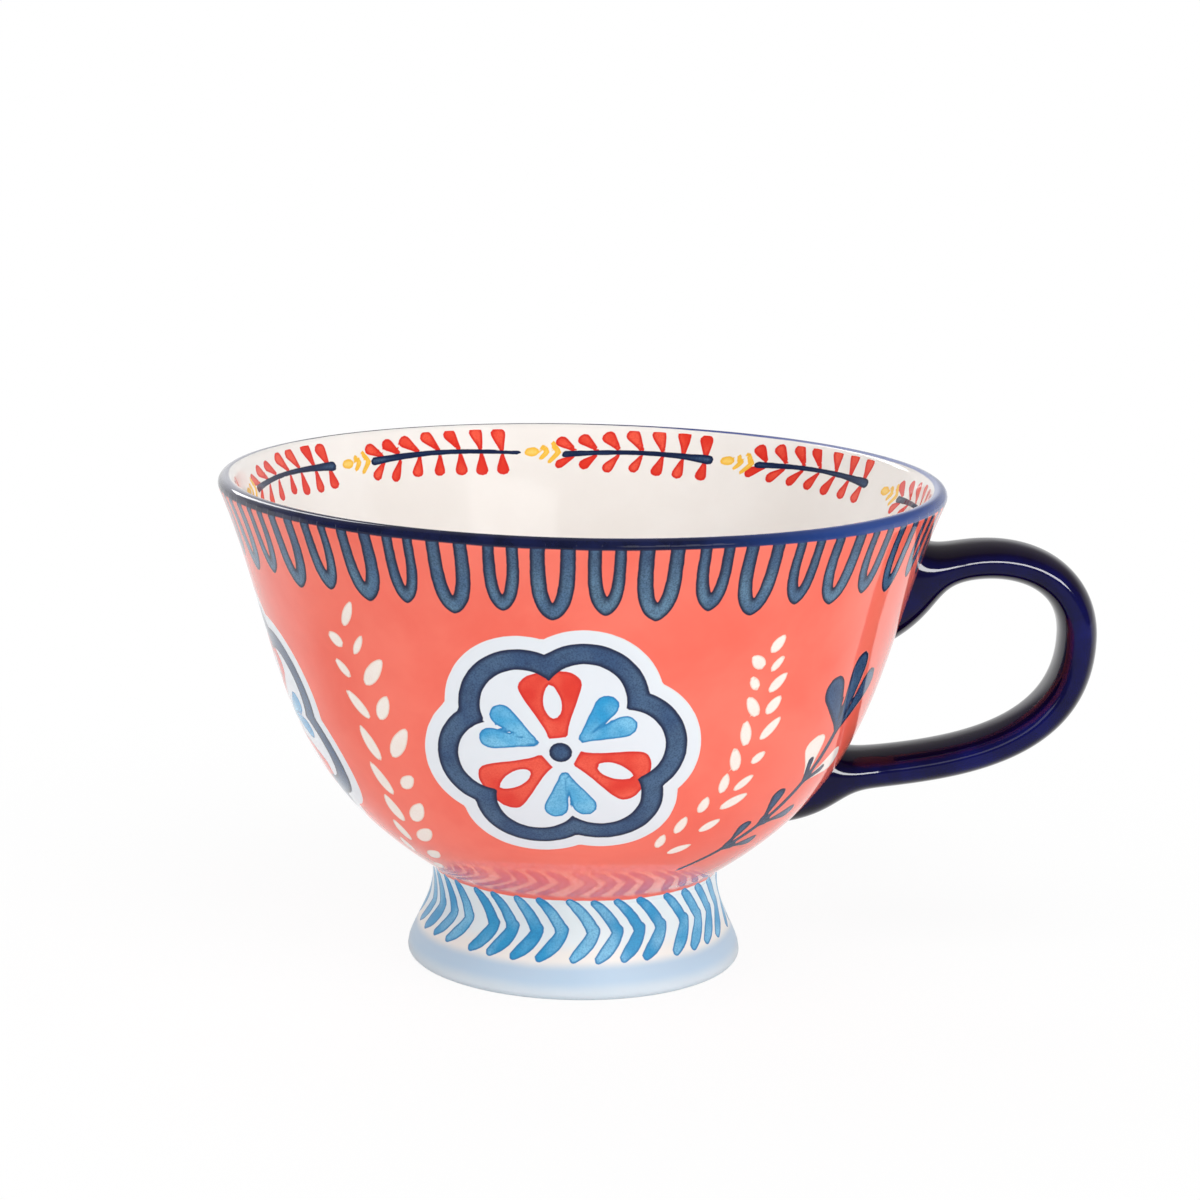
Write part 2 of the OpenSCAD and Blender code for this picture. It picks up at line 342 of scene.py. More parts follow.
# azimuth, leaves, and 1 or -1 for the mirror image
SPRAYS = [
    (-130.5, LEAVES_WIDE, 1), (-56.0, LEAVES_SLIM, 1), (156.5, LEAVES_SLIM, -1), (83.0, LEAVES_WIDE, -1)]
for middle, leaves, side in SPRAYS:
    for turn, at, length, width, lean in leaves:
        put("cream", (middle + side * turn, at), turned(seed(length * LONGER, width * WIDER), side * lean))


# Round flowers on a pale ground
LOBE_REACH = 10.5  # from the flower's middle to the middle of each lobe
GROUND_LOBE, FRAME_LOBE, FRAME_HOLE = 12.9, 10.5, 6.75  # radii of the lobes
HEART_R = 1.9


def flower(middle, level, turn):
    """Six-lobed frame on a pale ground, filled by three red petals with a slit and three pairs of leaves."""
    at = (middle, level)
    hole = turned(foil(LOBE_REACH, FRAME_HOLE), turn)
    put("ground", at, turned(foil(LOBE_REACH, GROUND_LOBE), turn))
    put("stroke", at, turned(foil(LOBE_REACH, FRAME_LOBE), turn), cut=[hole])
    petal = club(12.6, 11.4) + np.array([0, 2.8])
    slit = seed(6.4, 2.9) + np.array([0, 9.6])
    pair = [turned(club(9.9, 4.3), lean) + np.array([0, 4.0]) for lean in (-18, 18)]
    for a in (turn, turn + 120, turn + 240):
        put("red", at, turned(petal, a), cut=[turned(slit, a)])
        for leaf in pair:
            put("blue", at, turned(leaf, a + 60))
    put("stroke", at, blob(lambda a: HEART_R + 0 * a, 28))


# azimuth, run down, turn in degrees
FLOWERS = [(-93.0, 36.8, -8.0), (-170.0, 41.0, 22.0), (119.5, 36.8, 8.0), (46.0, 39.0, -20.0)]
for middle, level, turn in FLOWERS:
    flower(middle, level, turn)


# Leaning sprig on both sides of the handle
# Pairs on the stem: run down, length, width, paint
SPRIG_PAIRS = [(48.0, 8.4, 5.6, "cream"), (57.0, 7.0, 3.4, "stroke"), (62.5, 5.6, 3.0, "stroke")]
SPREAD = 42  # degrees from the stem to a leaf of a pair
STEM_TOP, STEM_END = 36, 68  # run down
BOW, BOW_TOP = 0.011, 28  # the stem is on a parabola: how sharply it bends, and the run down of its top
LEAN_RATE = 0.025  # how fast its leaves lean with it


def sprig(middle):
    """A stem that leans towards the front at its foot. It carries three broad leaves at its tip, then a pair
    of cream buds, then two pairs of small leaves."""
    def bow(level):
        return -BOW * (level - BOW_TOP) ** 2

    level = np.linspace(STEM_TOP, STEM_END, 14)
    dab("stroke", (middle, 0), np.stack([bow(level), -level], -1), [0.7, 0.7, 0.75, 0.55])
    tip = np.array([bow(38), -38.0])
    for lean in (-34, 4, 40):
        put("stroke", (middle, 0), turned(club(15.0 - 0.05 * abs(lean), 5.6), lean) + tip)
    for level, length, wide, kind in SPRIG_PAIRS:
        lean = math.degrees(math.atan(LEAN_RATE * (level - BOW_TOP)))
        node = np.array([bow(level), -level])
        for hand in (-SPREAD, SPREAD):
            stalk = turned(np.array([[0.0, 2.0], [0.0, 5.0]]), lean + hand) + node
            put(kind, (middle, 0), turned(club(length, wide), lean + hand) + stalk[0])
            dab("stroke", (middle, 0), [node, stalk[0] if kind == "stroke" else stalk[1]], [0.45, 0.8])


for middle in (-31.0, 19.0):
    sprig(middle)

# Garland inside the lip
STEMS = [28.2, 65.9, 104.6, 142.5, 183.4, 224.3, 265.2, 306.1, 347.0]  # azimuths where they start
TAILED = [104.6, 306.1]  # stems whose cut end is drawn out thin
# Degrees by which a stem's upper and lower leaves lean over further, since it is painted by hand
SWAY = {28.2: (-4, 8), 104.6: (6, -20), 142.5: (10, -20), 224.3: (4, -10), 306.1: (-8, 0)}
STEM_LEVEL, STEM_LENGTH, PAIR_STEP = 4.7, 28.3, 4.2
THIN_TAIL, BLUNT_TAIL = [0.4, 0.42, 0.46, 0.5, 0.55, 0.64, 0.8], [0.95, 0.62, 0.5, 0.46, 0.48, 0.52, 0.68]
LEAN_UPPER = [2, 8, 22, 33, 40, 47, 54]
LEAN_LOWER = [8, 10, 16, 26, 36, 44, 58]
BUD_CHEVRONS = [(29.6, 1.9, 1.5), (31.9, 1.2, 0.9)]  # tip, half opening, length
BUD_DROP = [[34.1, 0.05], [34.7, 0.1], [35.5, 0.1]]


def garland_stem(spot):
    """Bowed stem with seven pairs of leaves, which lean over more towards its tip."""
    start = spot[0]
    tail = start in TAILED
    x = np.linspace(-2.4 if tail else 0.0, STEM_LENGTH, 14)
    rise = 0.5 * np.sin(math.pi * x / STEM_LENGTH) + rng.normal(0, 0.15) - 0.25 * (x / STEM_LENGTH) ** 2
    dab("stroke", spot, np.stack([x, rise], -1), THIN_TAIL if tail else BLUNT_TAIL, lining=True)
    sway_upper, sway_lower = SWAY.get(start, (0, 0))
    for k in range(7):
        along = 0.9 + PAIR_STEP * k + rng.normal(0, 0.13)
        foot = np.array([along, np.interp(along, x, rise)])
        upper = club(5.3 - 0.1 * abs(k - 3) + rng.normal(0, 0.12), 3.1 - 0.1 * k + rng.normal(0, 0.12))
        upper[:, 0] += 0.012 * upper[:, 1] ** 2
        lower = club(4.4 + rng.normal(0, 0.16), 2.75 - 0.08 * k + rng.normal(0, 0.12))
        upper = turned(upper, LEAN_UPPER[k] + sway_upper + rng.normal(0, 2.5))
        lower = turned(lower, 180 - max(LEAN_LOWER[k] + sway_lower, 0) + rng.normal(0, 2.5))
        put("red", spot, upper + foot + np.array([0, 0.06 * k]), lining=True)
        put("red", spot, lower + foot - np.array([0, 0.15 + 0.03 * k]), lining=True)


def open_bud(spot):
    """Two chevrons and a drop, which follow a stem's tip."""
    for apex, open_by, back in BUD_CHEVRONS:
        arms = [[apex + back, open_by], [apex, 0], [apex + back, -open_by]]
        dab("yellow", spot, arms, [0.44, 0.52, 0.56, 0.52, 0.44], lining=True)
    dab("yellow", spot, BUD_DROP, [0.75, 1.0, 0.8], lining=True)


for start in STEMS:
    spot = (start, STEM_LEVEL + rng.normal(0, 0.12))
    garland_stem(spot)
    open_bud(spot)


# Chevrons round the foot, in fours
CHEVRON_LEVEL = 85.35
CHEVRON_TIPS = [-122.0, -113.0, -103.7, -94.3]  # azimuths in one four
FOURS = 9
DAB_STEPS = np.linspace(0, 1, 9)


def foot_chevron(tip):
    """Two dabs along cubic curves that meet at the tip, with a little chance in their lean and width."""
    spot = (tip + rng.normal(0, 0.2), CHEVRON_LEVEL + rng.normal(0, 0.1))
    lean, full = rng.normal(0, 0.16, 2), rng.normal(1, 0.045, 2)
    upper = bend([[-4.2 + lean[0], 5.3], [-2.8, 4.3], [-0.9, 2.0], [0, -0.1]], DAB_STEPS)
    lower = bend([[0.05, 0.3], [-0.3, -1.4], [-2.0, -3.2], [-3.9 + lean[1], -4.7]], DAB_STEPS)
    dab("blue", spot, upper, np.array([0.68, 0.94, 1.02, 1.12, 1.08]) * full[0])
    dab("blue", spot, lower, np.array([1.08, 1.18, 1.24, 1.12, 0.78]) * full[1])


for four in range(FOURS):
    for tip in CHEVRON_TIPS:
        foot_chevron(tip + 360 / FOURS * four)

# The standing ring is bare between two radii, and only close to the table.
BARE_IN, BARE_OUT, BARE_H = 25.5, 28.7, 0.4
ring_depth = np.minimum(radius - BARE_IN, BARE_OUT - radius) - 3 * np.maximum(profile[:, 1] - BARE_H, 0)
paint["bare"] = np.repeat(np.where(np.arange(ROWS) < first_wall, ring_depth, FAR)[:, None], COLUMNS, 1)
paint["down"] = np.repeat(down[:, None], COLUMNS, 1)


# Meshes
def make_mesh(name, grid, ends):
    """A closed smooth mesh from rows of points in millimetres. Each row closes on itself, quads join it to
    the next, and a fan of triangles joins the first row, and the last, to its end point."""
    rows, columns = grid.shape[:2]
    i, j = np.meshgrid(np.arange(rows - 1), np.arange(columns), indexing="ij")
    n = (j + 1) % columns
    low, high = i * columns, (i + 1) * columns
    quads = np.stack([low + j, low + n, high + n, high + j], -1).reshape(-1, 4)
    end = np.full(columns, rows * columns)
    first = np.stack([n[0], j[0], end], -1)
    last = np.stack([high[-1] + j[0], high[-1] + n[0], end + 1], -1)
    points = np.concatenate([grid.reshape(-1, 3), ends]) * MM
    mesh = bpy.data.meshes.new(name)
    mesh.from_pydata(points.tolist(), [], quads.tolist() + first.tolist() + last.tolist())
    mesh.polygons.foreach_set("use_smooth", np.ones(len(mesh.polygons), bool))
    mesh.update()
    piece = bpy.data.objects.new(name, mesh)
    bpy.context.collection.objects.link(piece)
    return piece


def add_field(piece, name, values):
    """A number for each vertex, which the materials read."""
    layer = piece.data.attributes.new(name, "FLOAT", "POINT")
    layer.data.foreach_set("value", np.asarray(values, np.float32))


GUTTER = 0.008  # bare share of the map between two strips
MARGIN, SPAN = 0.003, 0.994  # of the map's width


def bake_map(piece, run, columns, strips, caps):
    """UV map named OFBake. Each strip of rows (first, last, parts, start, height) fills the whole
    width, cut into parts round the piece that lie one over the other. caps starts a band for each fan."""
    u, v = (np.empty((len(run) - 1, columns, 4)) for _ in range(2))
    j = np.arange(columns)
    for first, last, parts, start, height in strips:
        share = (run[first:last + 1] - run[first]) / (run[last] - run[first])
        each = columns // parts
        left = MARGIN + SPAN * (j % each) / each
        right = left + SPAN / each
        lift = start + (j // each) * (height + GUTTER)
        low, high = (lift[None] + height * s[:, None] for s in (share[:-1], share[1:]))
        u[first:last] = np.stack([left, right, right, left], -1)
        v[first:last] = np.stack([low, low, high, high], -1)
    fans = []
    for start in caps:
        left = MARGIN + SPAN * j / columns
        across = np.stack([left, left + SPAN / columns, left + SPAN / 2 / columns], -1)
        along = np.stack([start + 0 * j, start + 0 * j, start + 0.004 + 0 * j], -1)
        fans.append(np.stack([across, along], -1).reshape(-1, 2))
    layer = piece.data.uv_layers.new(name="OFBake")
    layer.data.foreach_set("uv", np.concatenate([np.stack([u, v], -1).reshape(-1, 2), *fans]).ravel())


def make_body():
    """Surface of revolution: every point of the profile goes round the axis."""
    angle = np.radians(azimuth)
    ring = np.stack([np.cos(angle), np.sin(angle)], -1)
    points = np.empty((ROWS, COLUMNS, 3))
    points[..., :2] = profile[:, None, :1] * ring[None]
    points[..., 2] = profile[:, None, 1]
    body = make_mesh("mug_body", points, [[0, 0, profile[0, 1]], [0, 0, profile[-1, 1]]])
    for name, field in paint.items():
        add_field(body, name, np.r_[field.reshape(-1), field[0, 0], field[-1, 0]])
    waist = first_wall + int(np.argmin(np.abs(down[first_wall:last_wall] - CORAL_END)))
    garland = first_lining + int(np.argmin(np.abs(down_in[first_lining:] - GARLAND_END)))
    bake_map(body, run, COLUMNS, [
        (0, first_wall, 1, 0.012, 0.04),  # under the foot
        (first_wall, waist, 1, 0.062, 0.078),  # the foot's side
        (waist, last_wall, 2, 0.150, 0.303),  # the bowl's outside
        (last_wall, first_lining, 1, 0.774, 0.024),  # the lip
        (first_lining, garland, 2, 0.808, 0.048),
        (garland, ROWS - 1, 1, 0.922, 0.058),  # the lining under the garland
    ], (0.004, 0.988))
    return body


# Strap handle: its section, its outermost place, the heights of its roots, and how each root swells
STRAP_T, STRAP_W, SQUARE = 6.7, 14.0, 2.3
REACH_POINT = np.array([87.8, 59.6])
TOP_ROOT_Z, LOW_ROOT_Z = 67.5, 32.0
TOP_FLARE, TOP_LEN = 8.4, 5.5
LOW_OVER, LOW_UNDER, LOW_LEN = 5.1, 7.9, 5.0
WIDEN, DEPTH = 1.6, 2.0  # more width at a root, and how deep it ends in the wall
# Degrees from level in which the strap leaves a root, and how far it keeps that
TOP_SLOPE, TOP_KEEP = 32.6, 17.6
LOW_SLOPE, LOW_KEEP = 19.2, 9.8
RISE, DROP = 14.1, 25.9  # how far it stands upright over and under its outermost place
LINE_STEPS, ROUND_STEPS = 90, 96


def make_handle():
    """Loft: a rounded section (superellipse) goes along two cubic curves that meet at the outermost place.
    Near a root it lies along the wall and swells like a trumpet, more under the lower root than over it."""
    top, top_out, top_up = bowl_normal(TOP_ROOT_Z)
    low, low_out, low_up = bowl_normal(LOW_ROOT_Z)
    top, low = top - DEPTH * top_out, low - DEPTH * low_out
    upper = np.array([top, top + TOP_KEEP * polar(TOP_SLOPE), REACH_POINT + [0, RISE], REACH_POINT])
    lower = np.array([REACH_POINT, REACH_POINT - [0, DROP], low + LOW_KEEP * polar(LOW_SLOPE), low])
    s = np.linspace(0, 1, LINE_STEPS)
    s = s * s * (1.6 - 0.6 * s)  # steps crowd towards the roots
    line = np.concatenate([bend(upper, s), bend(lower, 1 - s[::-1])[1:]])
    ahead = np.concatenate([heading(upper, s), heading(lower, 1 - s[::-1])[1:]])
    to_top, to_low = np.linalg.norm(line - top, axis=1), np.linalg.norm(line - low, axis=1)
    near_top, near_low = fade(to_top, TOP_LEN), fade(to_low, LOW_LEN)
    up = ((1 - near_top) * (1 - near_low))[:, None] * np.stack([-ahead[:, 1], ahead[:, 0]], -1)
    up += near_top[:, None] * top_up - near_low[:, None] * low_up
    up /= np.linalg.norm(up, axis=1, keepdims=True)
    side = STRAP_W / 2 + WIDEN * (fade(to_top, 2 * TOP_LEN) + fade(to_low, 2 * LOW_LEN))
    around = np.linspace(0, 2 * math.pi, ROUND_STEPS, endpoint=False)
    power = 2 / SQUARE
    across = np.sign(np.cos(around)) * np.abs(np.cos(around)) ** power
    through = np.sign(np.sin(around)) * np.abs(np.sin(around)) ** power
    low_flare = np.where(through > 0, LOW_UNDER, LOW_OVER)[None, :]
    v = (STRAP_T / 2 + TOP_FLARE * near_top[:, None] + low_flare * near_low[:, None]) * through
    points = np.stack([line[:, :1] + v * up[:, :1], side[:, None] * across, line[:, 1:] + v * up[:, 1:]], -1)
    handle = make_mesh("mug_handle", points, [[top[0], 0, top[1]], [low[0], 0, low[1]]])
    rows, columns = points.shape[:2]
    add_field(handle, "edge", np.r_[np.tile(np.abs(across), rows), 0, 0])
    bake_map(handle, run_of(line), columns, [(0, rows - 1, 1, 0.03, 0.94)], (0.01, 0.985))
    return handle


body = make_body()
handle = make_handle()


# Materials
def srgb(r, g, b):
    """Linear colour from 0 to 255 screen values."""
    c = np.array([r, g, b]) / 255
    return (*np.where(c <= 0.04045, c / 12.92, ((c + 0.055) / 1.055) ** 2.4), 1.0)


class Nodes:
    """Short ways to add nodes to a tree and to link them."""

    def __init__(self, tree):
        self.tree = tree

    def add(self, kind, **settings):
        """A node of a kind, with its own settings."""
        node = self.tree.nodes.new(kind)
        for key, value in settings.items():
            setattr(node, key, value)
        return node

    def feed(self, socket, value):
        """Links another node's output to a socket, or sets the socket to a value."""
        if isinstance(value, bpy.types.NodeSocket):
            self.tree.links.new(value, socket)
        elif value is not None:
            socket.default_value = value

    def math(self, operation, a, b=None, c=None, clamp=False):
        """Result of an operation on up to three numbers."""
        node = self.add("ShaderNodeMath", operation=operation, use_clamp=clamp)
        for socket, value in zip(node.inputs, (a, b, c)):
            self.feed(socket, value)
        return node.outputs[0]

    def step(self, value, low, high, smooth=True):
        """0 below low and 1 above high."""
        node = self.add("ShaderNodeMapRange", interpolation_type="SMOOTHSTEP" if smooth else "LINEAR")
        for name, v in (("Value", value), ("From Min", low), ("From Max", high)):
            self.feed(node.inputs[name], v)
        return node.outputs["Result"]

    def mix(self, factor, a, b):
        """Colour a where the factor is 0, and b where it is 1."""
        node = self.add("ShaderNodeMix", data_type="RGBA")
        self.feed(node.inputs["Factor"], factor)
        self.feed(node.inputs["A"], a)
        self.feed(node.inputs["B"], b)
        return node.outputs["Result"]

    def noise(self, place, scale, detail=2.0, roughness=0.5, distortion=0.0):
        """Cloudy number round 0.5. The scale counts its clouds in a metre."""
        node = self.add("ShaderNodeTexNoise")
        self.feed(node.inputs["Vector"], place)
        settings = {"Scale": scale, "Detail": detail, "Roughness": roughness, "Distortion": distortion}
        for name, v in settings.items():
            self.feed(node.inputs[name], v)
        return node.outputs["Fac"]

    def object_mm(self):
        """Place on the piece, split into x, y and z in millimetres."""
        scaled = self.add("ShaderNodeVectorMath", operation="SCALE")
        self.feed(scaled.inputs[0], self.add("ShaderNodeTexCoord").outputs["Object"])
        scaled.inputs["Scale"].default_value = 1000.0
        split = self.add("ShaderNodeSeparateXYZ")
        self.feed(split.inputs[0], scaled.outputs[0])
        return split.outputs

    def field(self, name):
        """A number kept at the piece's vertices."""
        return self.add("ShaderNodeAttribute", attribute_name=name).outputs["Fac"]

    def group(self, tree, **values):
        """Outputs of a node group. An underscore in a value's name stands for a space in its socket's."""
        node = self.add("ShaderNodeGroup", node_tree=tree)
        for name, value in values.items():
            self.feed(node.inputs[name.replace("_", " ")], value)
        return node.outputs


def new_group(name, inputs, outputs):
    """An empty node group with named sockets: (name, kind, value)."""
    tree = bpy.data.node_groups.new(name, "ShaderNodeTree")
    for label, kind, value in inputs:
        socket = tree.interface.new_socket(label, in_out="INPUT", socket_type="NodeSocket" + kind)
        socket.default_value = value
    for label, kind in outputs:
        tree.interface.new_socket(label, in_out="OUTPUT", socket_type="NodeSocket" + kind)
    n = Nodes(tree)
    return n, n.add("NodeGroupInput").outputs, n.add("NodeGroupOutput").inputs


def brush_stroke_group():
    """Underglaze colour laid over another: a wavering edge that pools darker, and grain where it is thin."""
    n, i, o = new_group(
        "brush_stroke",
        [("Depth", "Float", 0.0), ("Under", "Color", (1, 1, 1, 1)), ("Rim", "Color", (0, 0, 0, 1)),
         ("Middle", "Color", (0.1, 0.2, 0.4, 1)), ("Rim width", "Float", 0.6), ("Grain", "Float", 0.3),
         ("Waver", "Float", 0.16)],
        [("Colour", "Color"), ("Mask", "Float")],
    )
    place = n.add("ShaderNodeTexCoord").outputs["Object"]
    waver = n.math("SUBTRACT", n.noise(place, 560, 2.0), 0.5)
    depth = n.math("MULTIPLY_ADD", waver, i["Waver"], i["Depth"])
    mask = n.step(depth, -0.06, 0.08)
    inner = n.step(depth, 0.12, i["Rim width"])
    fine = n.noise(place, 3300, 2.0, 0.7)
    broad = n.noise(place, 230, 2.0, 0.6)
    grain = n.math("MULTIPLY", n.step(fine, 0.40, 0.66, smooth=False), i["Grain"])
    lift = n.math("MULTIPLY", inner, n.math("SUBTRACT", 1.0, grain))
    patchy = n.math("MULTIPLY_ADD", n.math("SUBTRACT", broad, 0.5), 0.8, 1.0)
    lift = n.math("MULTIPLY", lift, patchy, clamp=True)
    colour = n.mix(lift, i["Rim"], i["Middle"])
    n.feed(o["Colour"], n.mix(mask, i["Under"], colour))
    n.feed(o["Mask"], mask)
    return n.tree


def loop_outline_group():
    """Distance inside a hanging loop's outline |x| = half (1 - (y / bottom)^long)^(1 / round), to first
    order: the outline's function over the length of its gradient."""
    n, i, o = new_group(
        "loop_outline",
        [("Side", "Float", 0.0), ("Down", "Float", 0.0), ("Half", "Float", 3.0), ("Bottom", "Float", 12.0),
         ("Round", "Float", 1.6), ("Long", "Float", 4.0)],
        [("Depth", "Float")],
    )
    across = n.math("MAXIMUM", n.math("DIVIDE", n.math("ABSOLUTE", i["Side"]), i["Half"]), 0.002)
    along = n.math("MAXIMUM", n.math("DIVIDE", i["Down"], i["Bottom"]), 0.002)
    across_slope = n.math("POWER", across, n.math("SUBTRACT", i["Round"], 1.0))
    along_slope = n.math("POWER", along, n.math("SUBTRACT", i["Long"], 1.0))
    used = n.math("MULTIPLY_ADD", across_slope, across, n.math("MULTIPLY", along_slope, along))
    gx = n.math("DIVIDE", n.math("MULTIPLY", across_slope, i["Round"]), i["Half"])
    gy = n.math("DIVIDE", n.math("MULTIPLY", along_slope, i["Long"]), i["Bottom"])
    steep = n.math("SQRT", n.math("MULTIPLY_ADD", gx, gx, n.math("MULTIPLY", gy, gy)))
    n.feed(o["Depth"], n.math("DIVIDE", n.math("SUBTRACT", 1.0, used), n.math("MAXIMUM", steep, 0.03)))
    return n.tree


LOOPS = 46
LOOP_START = -93.9  # azimuth of a long loop's middle, in degrees
LOOP_HALF, LOOP_DROP = 3.6, 12.3  # half width and length of a long loop
LESS_HALF, LESS_DROP = 0.66, 1.0  # what a short loop has less of them
SLOT_SHARE, SLOT_END = 0.32, 3.35  # the slot's share of that half width, and how much higher it ends


def hanging_loops_group(outline):
    """Fringe of loops under the lip, long and short in turn, each a little unlike the next."""
    n, i, o = new_group("hanging_loops", [("Down", "Float", 0.0)], [("Depth", "Float")])
    x, y, _ = n.object_mm()
    angle = n.math("ARCTAN2", y, x)
    count = n.math("MULTIPLY_ADD", angle, LOOPS / (2 * math.pi), LOOPS * (1 - LOOP_START / 360))
    which = n.math("ROUND", count)
    index = n.math("MODULO", which, float(LOOPS))
    short = n.math("MODULO", index, 2.0)
    across = n.math("SQRT", n.math("MULTIPLY_ADD", x, x, n.math("MULTIPLY", y, y)))
    wide = n.math("MULTIPLY", across, 2 * math.pi / LOOPS)
    side = n.math("MULTIPLY", n.math("SUBTRACT", count, which), wide)
    chance = n.add("ShaderNodeTexWhiteNoise", noise_dimensions="1D")
    n.feed(chance.inputs["W"], n.math("ADD", index, 0.37))
    parts = n.add("ShaderNodeSeparateColor")
    n.feed(parts.inputs[0], chance.outputs["Color"])
    one, two, three = (n.math("SUBTRACT", part, 0.5) for part in parts.outputs)
    lean = n.math("MULTIPLY", n.math("MULTIPLY_ADD", i["Down"], 0.05, -0.2), three)
    side = n.math("ADD", n.math("MULTIPLY_ADD", one, 0.5, side), lean)
    half = n.math("MULTIPLY_ADD", two, 0.26, n.math("MULTIPLY_ADD", short, -LESS_HALF, LOOP_HALF))
    bottom = n.math("MULTIPLY_ADD", one, 0.55, n.math("MULTIPLY_ADD", short, -LESS_DROP, LOOP_DROP))
    loop = n.group(outline, Side=side, Down=i["Down"], Half=half, Bottom=bottom, Round=1.62, Long=4.0)
    slot_side = n.math("MULTIPLY_ADD", n.math("MULTIPLY", two, three), 0.9, side)
    slot_half = n.math("MULTIPLY", half, SLOT_SHARE)
    slot_end = n.math("ADD", bottom, n.math("MULTIPLY_ADD", three, 0.5, -SLOT_END))
    slot = n.group(
        outline, Side=slot_side, Down=i["Down"], Half=slot_half, Bottom=slot_end, Round=1.5, Long=2.6)
    depth = n.math("MINIMUM", loop["Depth"], n.math("MULTIPLY", slot["Depth"], -1.0))
    n.feed(o["Depth"], n.math("MINIMUM", depth, n.math("ADD", i["Down"], 1.2)))
    return n.tree


def glaze_group():
    """Fired glaze: a faint orange-peel swell with a finer ripple, a few pinholes, and a varying gloss."""
    n, i, o = new_group(
        "fired_glaze",
        [("Swell", "Float", 0.5), ("Gloss", "Float", 0.08), ("Pinholes", "Float", 1.0)],
        [("Height", "Float"), ("Roughness", "Float"), ("Pin", "Float")],
    )
    place = n.add("ShaderNodeTexCoord").outputs["Object"]
    swell = n.noise(place, 85, 2.0, 0.5)
    ripple = n.noise(place, 420, 2.0, 0.5)
    height = n.math("MULTIPLY_ADD", ripple, 0.16, swell)
    dots = n.add("ShaderNodeTexVoronoi", feature="F1")
    n.feed(dots.inputs["Vector"], place)
    n.feed(dots.inputs["Scale"], 120)
    pin = n.math("SUBTRACT", 1.0, n.step(dots.outputs["Distance"], 0.015, 0.035))
    few = n.step(n.noise(place, 35, 0.0), 0.60, 0.64)
    pin = n.math("MULTIPLY", n.math("MULTIPLY", pin, few), i["Pinholes"])
    height = n.math("MULTIPLY", height, i["Swell"])
    n.feed(o["Height"], n.math("SUBTRACT", height, n.math("MULTIPLY", pin, 0.3)))
    wear = n.math("SUBTRACT", n.noise(place, 60, 3.0, 0.6), 0.5)
    n.feed(o["Roughness"], n.math("MULTIPLY_ADD", wear, 0.05, i["Gloss"], clamp=True))
    n.feed(o["Pin"], pin)
    return n.tree


BRUSH = brush_stroke_group()
LOOPS_UNDER_LIP = hanging_loops_group(loop_outline_group())
GLAZE = glaze_group()


def empty_nodes(owner):
    """The node tree of a material or a world, with nothing in it."""
    owner.use_nodes = True
    owner.node_tree.nodes.clear()
    return Nodes(owner.node_tree)


def new_material(name):
    """A material with only a shader in it, to which the finish is fed."""
    material = bpy.data.materials.new(name)
    n = empty_nodes(material)
    shader = n.add("ShaderNodeBsdfPrincipled")
    out = n.add("ShaderNodeOutputMaterial")
    n.feed(out.inputs["Surface"], shader.outputs["BSDF"])
    return material, n, shader


def bumped(n, shader, height, distance):
    """Relief finer than the mesh. A height of 1 stands as many metres high as the distance says."""
    bump = n.add("ShaderNodeBump")
    n.feed(bump.inputs["Height"], height)
    bump.inputs["Distance"].default_value = distance
    bump.inputs["Strength"].default_value = 1.0
    n.feed(shader.inputs["Normal"], bump.outputs["Normal"])


def white_glaze(n, cloud, down):
    """White of the lining and cooler white of the foot, with a tinted band round the base. The band is soft
    at its upper edge, and paler where the glaze runs thin at the foot's edge."""
    lining = n.mix(n.step(cloud, 0.3, 0.7), srgb(241, 236, 231), srgb(246, 242, 238))
    milk = n.mix(n.step(cloud, 0.3, 0.7), srgb(220, 240, 248), srgb(230, 247, 251))
    milk = n.mix(n.math("MULTIPLY", n.step(down, 86.5, 89.5), 0.7), milk, srgb(243, 241, 232))
    colour = n.mix(n.step(down, -4.0, 0.0), lining, milk)
    cloudy = n.math("MULTIPLY_ADD", n.math("SUBTRACT", cloud, 0.5), 1.4, down)
    strong = n.math("SUBTRACT", 1.0, n.math("MULTIPLY", n.step(cloudy, 93.6, 96.0), 0.45))
    band = n.math("MULTIPLY", n.step(cloudy, 90.2, 92.2), strong)
    return n.mix(band, colour, srgb(182, 211, 232))


def coral_ground(n, place, cloud, unsteady, under):
    """Brushed coral over what lies under it, deeper in places and along its lower edge."""
    soft = n.noise(place, 17, 2.0, 0.5)
    coral = n.mix(n.step(cloud, 0.28, 0.72), srgb(248, 108, 89), srgb(254, 124, 105))
    coral = n.mix(n.math("MULTIPLY", n.step(soft, 0.45, 0.7), 0.35), coral, srgb(240, 97, 78))
    streak = n.noise(place, 300)
    left = n.math("SUBTRACT", CORAL_END, unsteady)
    edge = n.math("MULTIPLY_ADD", n.math("SUBTRACT", streak, 0.5), 0.3, left)
    at_edge = n.math("MULTIPLY", n.math("SUBTRACT", 1.0, n.step(edge, 0.1, 0.9)), 0.35)
    coral = n.mix(at_edge, coral, srgb(226, 88, 66))
    coral_on = n.math("MULTIPLY", n.step(edge, -0.08, 0.10), n.step(unsteady, -0.9, -0.7))
    return n.mix(coral_on, under, coral)


